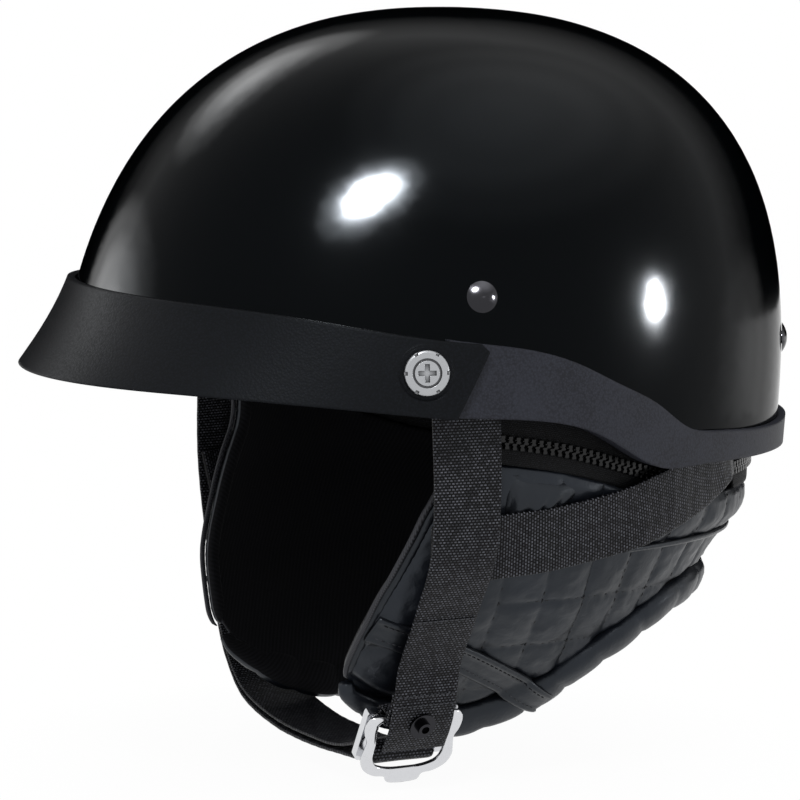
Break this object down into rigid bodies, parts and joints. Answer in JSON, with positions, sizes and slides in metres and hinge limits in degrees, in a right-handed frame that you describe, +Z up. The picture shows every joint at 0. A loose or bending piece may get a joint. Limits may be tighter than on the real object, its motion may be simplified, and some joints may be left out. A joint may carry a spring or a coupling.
{
  "type": "half shell motorcycle helmet",
  "caption": "Open half shell motorcycle helmet with a short peak, leather ear covers and neck curtain, zip, webbing chin strap and steel D rings.",
  "frame": {"origin": "centre of the head opening, level with the widest ring of the shell", "axes": "+Z up, -Y towards the front, +X towards the wearer's left"},
  "size_m": [0.2292, 0.2959, 0.2787],
  "materials": {
    "outer_shell": "gloss black paint",
    "eps_liner": "black bead foam",
    "crown_pad": "black brushed lining",
    "head_band": "black brushed lining",
    "edge_trim": "dark satin grain",
    "peak": "black satin micro grain",
    "peak_screws": "brushed head",
    "peak_washers": "black",
    "peak_nuts": "zinc plated",
    "strap_rivets": "gloss black",
    "rivet_washers": "zinc plated",
    "front_strap_left": "black nylon webbing",
    "front_strap_right": "black nylon webbing",
    "rear_strap_left": "black nylon webbing",
    "rear_strap_right": "black nylon webbing",
    "chin_strap": "black nylon webbing",
    "ring_loop": "black nylon webbing",
    "d_ring_outer": "polished",
    "d_ring_inner": "polished",
    "snap_stud": "gloss black",
    "snap_cap": "gloss black",
    "zip_teeth_upper": "black moulded teeth",
    "zip_teeth_lower": "black moulded teeth",
    "zip_tape_upper": "black woven tape",
    "zip_tape_lower": "black woven tape",
    "zip_stops": "black",
    "zip_slider": "black",
    "zip_pull": "black",
    "ear_cover_left": "black leather",
    "ear_cover_right": "black leather",
    "neck_curtain": "black leather",
    "ear_lining_left": "black lining",
    "ear_lining_right": "black lining",
    "neck_lining": "black lining",
    "cover_hem": "black leather",
    "binding_left": "black leather",
    "binding_right": "black leather",
    "cover_band_left": "black leather",
    "cover_band_right": "black leather",
    "pocket_flap_left": "black leather",
    "pocket_flap_right": "black leather"
  },
  "bodies": {
    "helmet": {"outer_shell": "outer_shell", "eps_liner": "eps_liner", "crown_pad": "crown_pad", "head_band": "head_band", "edge_trim": "edge_trim", "peak_screws": "peak_screws", "peak_washers": "peak_washers", "peak_nuts": "peak_nuts", "strap_rivets": "strap_rivets", "rivet_washers": "rivet_washers", "front_strap_left": "front_strap_left", "front_strap_right": "front_strap_right", "rear_strap_left": "rear_strap_left", "rear_strap_right": "rear_strap_right", "chin_strap": "chin_strap", "ring_loop": "ring_loop", "snap_stud": "snap_stud", "snap_cap": "snap_cap", "zip_teeth_upper": "zip_teeth_upper", "zip_teeth_lower": "zip_teeth_lower", "zip_tape_upper": "zip_tape_upper", "zip_tape_lower": "zip_tape_lower", "zip_stops": "zip_stops", "ear_cover_left": "ear_cover_left", "ear_cover_right": "ear_cover_right", "neck_curtain": "neck_curtain", "ear_lining_left": "ear_lining_left", "ear_lining_right": "ear_lining_right", "neck_lining": "neck_lining", "cover_hem": "cover_hem", "binding_left": "binding_left", "binding_right": "binding_right", "cover_band_left": "cover_band_left", "cover_band_right": "cover_band_right", "pocket_flap_left": "pocket_flap_left", "pocket_flap_right": "pocket_flap_right"},
    "peak_body": {"peak": "peak"},
    "outer_ring": {"d_ring_outer": "d_ring_outer"},
    "inner_ring": {"d_ring_inner": "d_ring_inner"},
    "slider": {"zip_slider": "zip_slider"},
    "pull": {"zip_pull": "zip_pull"}
  },
  "joints": [
    {"name": "peak_tilt", "type": "hinge", "parent": "helmet", "child": "peak_body", "pos_m": [0, -0.03997, 0.05105], "axis": [-1, 0, 0], "range_deg": [0, 5]},
    {"name": "outer_ring_swing", "type": "hinge", "parent": "helmet", "child": "outer_ring", "pos_m": [0.06227, -0.02051, -0.08021], "axis": [0, -1, 0], "range_deg": [0, 70]},
    {"name": "inner_ring_swing", "type": "hinge", "parent": "helmet", "child": "inner_ring", "pos_m": [0.05856, -0.02051, -0.07845], "axis": [0, -1, 0], "range_deg": [-2.5, 2.5]},
    {"name": "zip_run", "type": "hinge", "parent": "helmet", "child": "slider", "pos_m": [0, 0.045, 0.0032], "axis": [0, 0, 1], "range_deg": [-56, 0]},
    {"name": "pull_swing", "type": "hinge", "parent": "slider", "child": "pull", "pos_m": [-0.04624, 0.13197, 0.0032], "axis": [0, 0, 1], "range_deg": [0, 180]}
  ]
}
